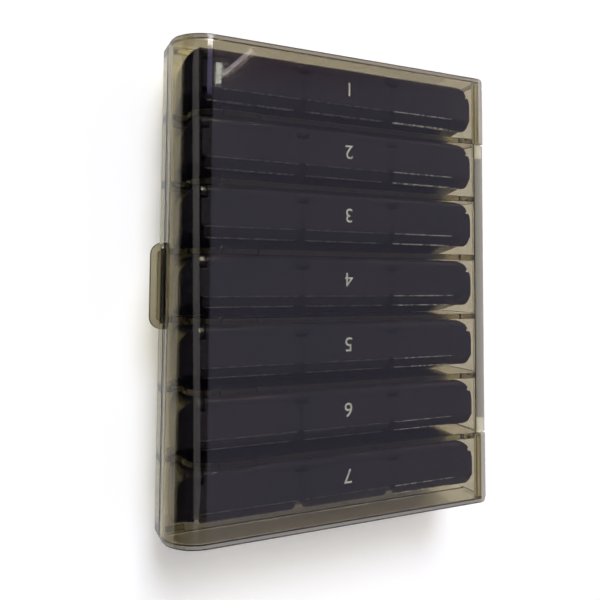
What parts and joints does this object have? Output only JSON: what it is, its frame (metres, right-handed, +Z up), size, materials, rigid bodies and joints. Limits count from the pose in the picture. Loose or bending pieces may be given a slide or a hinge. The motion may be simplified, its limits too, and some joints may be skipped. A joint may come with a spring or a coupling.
{
  "type": "weekly medicine organiser",
  "caption": "Clear hinged case with a row of lift-out day boxes for medicine, each with hinged compartment lids.",
  "frame": {"origin": "middle of the underside of the whole closed case, latch tab included", "axes": "+Z up out of the lid, +X towards the hinge, +Y along the row towards the first day box"},
  "size_m": [0.132, 0.17, 0.031],
  "materials": {
    "clear_smoke": "clear smoke-tinted polystyrene, glossy",
    "dark_box": "dark translucent moulded plastic, glossy",
    "dark_lid": "dark translucent moulded plastic, glossy"
  },
  "bodies": {
    "tray": {"case_tray": "clear_smoke"},
    "lid": {"case_lid": "clear_smoke"},
    "day_1": {"day_box_1": "dark_box"},
    "day_1_lid_front": {"day_1_lid_front": "dark_lid"},
    "day_1_lid_middle": {"day_1_lid_middle": "dark_lid"},
    "day_1_lid_back": {"day_1_lid_back": "dark_lid"},
    "day_2": {"day_box_2": "dark_box"},
    "day_2_lid_front": {"day_2_lid_front": "dark_lid"},
    "day_2_lid_middle": {"day_2_lid_middle": "dark_lid"},
    "day_2_lid_back": {"day_2_lid_back": "dark_lid"},
    "day_3": {"day_box_3": "dark_box"},
    "day_3_lid_front": {"day_3_lid_front": "dark_lid"},
    "day_3_lid_middle": {"day_3_lid_middle": "dark_lid"},
    "day_3_lid_back": {"day_3_lid_back": "dark_lid"},
    "day_4": {"day_box_4": "dark_box"},
    "day_4_lid_front": {"day_4_lid_front": "dark_lid"},
    "day_4_lid_middle": {"day_4_lid_middle": "dark_lid"},
    "day_4_lid_back": {"day_4_lid_back": "dark_lid"},
    "day_5": {"day_box_5": "dark_box"},
    "day_5_lid_front": {"day_5_lid_front": "dark_lid"},
    "day_5_lid_middle": {"day_5_lid_middle": "dark_lid"},
    "day_5_lid_back": {"day_5_lid_back": "dark_lid"},
    "day_6": {"day_box_6": "dark_box"},
    "day_6_lid_front": {"day_6_lid_front": "dark_lid"},
    "day_6_lid_middle": {"day_6_lid_middle": "dark_lid"},
    "day_6_lid_back": {"day_6_lid_back": "dark_lid"},
    "day_7": {"day_box_7": "dark_box"},
    "day_7_lid_front": {"day_7_lid_front": "dark_lid"},
    "day_7_lid_middle": {"day_7_lid_middle": "dark_lid"},
    "day_7_lid_back": {"day_7_lid_back": "dark_lid"}
  },
  "joints": [
    {"name": "case_lid_hinge", "type": "hinge", "parent": "tray", "child": "lid", "pos_m": [0.0636, 0, 0.0286], "axis": [0, 1, 0], "range_deg": [0, 180]},
    {"name": "day_1_tip", "type": "hinge", "parent": "tray", "child": "day_1", "pos_m": [0.0602, 0.0708, 0.031], "axis": [0, 1, 0], "range_deg": [0, 90]},
    {"name": "day_1_front_hinge", "type": "hinge", "parent": "day_1", "child": "day_1_lid_front", "pos_m": [-0.03305, 0.0791, 0.0261], "axis": [-1, 0, 0], "range_deg": [0, 90]},
    {"name": "day_1_middle_hinge", "type": "hinge", "parent": "day_1", "child": "day_1_lid_middle", "pos_m": [0.00425, 0.0791, 0.0261], "axis": [-1, 0, 0], "range_deg": [0, 90]},
    {"name": "day_1_back_hinge", "type": "hinge", "parent": "day_1", "child": "day_1_lid_back", "pos_m": [0.04155, 0.0791, 0.0261], "axis": [-1, 0, 0], "range_deg": [0, 90]},
    {"name": "day_2_tip", "type": "hinge", "parent": "tray", "child": "day_2", "pos_m": [0.0602, 0.0472, 0.031], "axis": [0, 1, 0], "range_deg": [0, 90]},
    {"name": "day_2_front_hinge", "type": "hinge", "parent": "day_2", "child": "day_2_lid_front", "pos_m": [-0.03305, 0.0555, 0.0261], "axis": [-1, 0, 0], "range_deg": [0, 90]},
    {"name": "day_2_middle_hinge", "type": "hinge", "parent": "day_2", "child": "day_2_lid_middle", "pos_m": [0.00425, 0.0555, 0.0261], "axis": [-1, 0, 0], "range_deg": [0, 90]},
    {"name": "day_2_back_hinge", "type": "hinge", "parent": "day_2", "child": "day_2_lid_back", "pos_m": [0.04155, 0.0555, 0.0261], "axis": [-1, 0, 0], "range_deg": [0, 90]},
    {"name": "day_3_tip", "type": "hinge", "parent": "tray", "child": "day_3", "pos_m": [0.0602, 0.0236, 0.031], "axis": [0, 1, 0], "range_deg": [0, 90]},
    {"name": "day_3_front_hinge", "type": "hinge", "parent": "day_3", "child": "day_3_lid_front", "pos_m": [-0.03305, 0.0319, 0.0261], "axis": [-1, 0, 0], "range_deg": [0, 90]},
    {"name": "day_3_middle_hinge", "type": "hinge", "parent": "day_3", "child": "day_3_lid_middle", "pos_m": [0.00425, 0.0319, 0.0261], "axis": [-1, 0, 0], "range_deg": [0, 90]},
    {"name": "day_3_back_hinge", "type": "hinge", "parent": "day_3", "child": "day_3_lid_back", "pos_m": [0.04155, 0.0319, 0.0261], "axis": [-1, 0, 0], "range_deg": [0, 90]},
    {"name": "day_4_tip", "type": "hinge", "parent": "tray", "child": "day_4", "pos_m": [0.0602, 0, 0.031], "axis": [0, 1, 0], "range_deg": [0, 90]},
    {"name": "day_4_front_hinge", "type": "hinge", "parent": "day_4", "child": "day_4_lid_front", "pos_m": [-0.03305, 0.0083, 0.0261], "axis": [-1, 0, 0], "range_deg": [0, 90]},
    {"name": "day_4_middle_hinge", "type": "hinge", "parent": "day_4", "child": "day_4_lid_middle", "pos_m": [0.00425, 0.0083, 0.0261], "axis": [-1, 0, 0], "range_deg": [0, 90]},
    {"name": "day_4_back_hinge", "type": "hinge", "parent": "day_4", "child": "day_4_lid_back", "pos_m": [0.04155, 0.0083, 0.0261], "axis": [-1, 0, 0], "range_deg": [0, 90]},
    {"name": "day_5_tip", "type": "hinge", "parent": "tray", "child": "day_5", "pos_m": [0.0602, -0.0236, 0.031], "axis": [0, 1, 0], "range_deg": [0, 90]},
    {"name": "day_5_front_hinge", "type": "hinge", "parent": "day_5", "child": "day_5_lid_front", "pos_m": [-0.03305, -0.0153, 0.0261], "axis": [-1, 0, 0], "range_deg": [0, 90]},
    {"name": "day_5_middle_hinge", "type": "hinge", "parent": "day_5", "child": "day_5_lid_middle", "pos_m": [0.00425, -0.0153, 0.0261], "axis": [-1, 0, 0], "range_deg": [0, 90]},
    {"name": "day_5_back_hinge", "type": "hinge", "parent": "day_5", "child": "day_5_lid_back", "pos_m": [0.04155, -0.0153, 0.0261], "axis": [-1, 0, 0], "range_deg": [0, 90]},
    {"name": "day_6_tip", "type": "hinge", "parent": "tray", "child": "day_6", "pos_m": [0.0602, -0.0472, 0.031], "axis": [0, 1, 0], "range_deg": [0, 90]},
    {"name": "day_6_front_hinge", "type": "hinge", "parent": "day_6", "child": "day_6_lid_front", "pos_m": [-0.03305, -0.0389, 0.0261], "axis": [-1, 0, 0], "range_deg": [0, 90]},
    {"name": "day_6_middle_hinge", "type": "hinge", "parent": "day_6", "child": "day_6_lid_middle", "pos_m": [0.00425, -0.0389, 0.0261], "axis": [-1, 0, 0], "range_deg": [0, 90]},
    {"name": "day_6_back_hinge", "type": "hinge", "parent": "day_6", "child": "day_6_lid_back", "pos_m": [0.04155, -0.0389, 0.0261], "axis": [-1, 0, 0], "range_deg": [0, 90]},
    {"name": "day_7_tip", "type": "hinge", "parent": "tray", "child": "day_7", "pos_m": [0.0602, -0.0708, 0.031], "axis": [0, 1, 0], "range_deg": [0, 90]},
    {"name": "day_7_front_hinge", "type": "hinge", "parent": "day_7", "child": "day_7_lid_front", "pos_m": [-0.03305, -0.0625, 0.0261], "axis": [-1, 0, 0], "range_deg": [0, 90]},
    {"name": "day_7_middle_hinge", "type": "hinge", "parent": "day_7", "child": "day_7_lid_middle", "pos_m": [0.00425, -0.0625, 0.0261], "axis": [-1, 0, 0], "range_deg": [0, 90]},
    {"name": "day_7_back_hinge", "type": "hinge", "parent": "day_7", "child": "day_7_lid_back", "pos_m": [0.04155, -0.0625, 0.0261], "axis": [-1, 0, 0], "range_deg": [0, 90]}
  ],
  "couplings": [
    {"joint": "day_1_tip", "follows": "case_lid_hinge", "ratio": 0.5},
    {"joint": "day_1_front_hinge", "follows": "case_lid_hinge", "ratio": 0.5},
    {"joint": "day_1_middle_hinge", "follows": "case_lid_hinge", "ratio": 0.5},
    {"joint": "day_1_back_hinge", "follows": "case_lid_hinge", "ratio": 0.5},
    {"joint": "day_2_tip", "follows": "case_lid_hinge", "ratio": 0.5},
    {"joint": "day_2_front_hinge", "follows": "case_lid_hinge", "ratio": 0.5},
    {"joint": "day_2_middle_hinge", "follows": "case_lid_hinge", "ratio": 0.5},
    {"joint": "day_2_back_hinge", "follows": "case_lid_hinge", "ratio": 0.5},
    {"joint": "day_3_tip", "follows": "case_lid_hinge", "ratio": 0.5},
    {"joint": "day_3_front_hinge", "follows": "case_lid_hinge", "ratio": 0.5},
    {"joint": "day_3_middle_hinge", "follows": "case_lid_hinge", "ratio": 0.5},
    {"joint": "day_3_back_hinge", "follows": "case_lid_hinge", "ratio": 0.5},
    {"joint": "day_4_tip", "follows": "case_lid_hinge", "ratio": 0.5},
    {"joint": "day_4_front_hinge", "follows": "case_lid_hinge", "ratio": 0.5},
    {"joint": "day_4_middle_hinge", "follows": "case_lid_hinge", "ratio": 0.5},
    {"joint": "day_4_back_hinge", "follows": "case_lid_hinge", "ratio": 0.5},
    {"joint": "day_5_tip", "follows": "case_lid_hinge", "ratio": 0.5},
    {"joint": "day_5_front_hinge", "follows": "case_lid_hinge", "ratio": 0.5},
    {"joint": "day_5_middle_hinge", "follows": "case_lid_hinge", "ratio": 0.5},
    {"joint": "day_5_back_hinge", "follows": "case_lid_hinge", "ratio": 0.5},
    {"joint": "day_6_tip", "follows": "case_lid_hinge", "ratio": 0.5},
    {"joint": "day_6_front_hinge", "follows": "case_lid_hinge", "ratio": 0.5},
    {"joint": "day_6_middle_hinge", "follows": "case_lid_hinge", "ratio": 0.5},
    {"joint": "day_6_back_hinge", "follows": "case_lid_hinge", "ratio": 0.5},
    {"joint": "day_7_tip", "follows": "case_lid_hinge", "ratio": 0.5},
    {"joint": "day_7_front_hinge", "follows": "case_lid_hinge", "ratio": 0.5},
    {"joint": "day_7_middle_hinge", "follows": "case_lid_hinge", "ratio": 0.5},
    {"joint": "day_7_back_hinge", "follows": "case_lid_hinge", "ratio": 0.5}
  ]
}
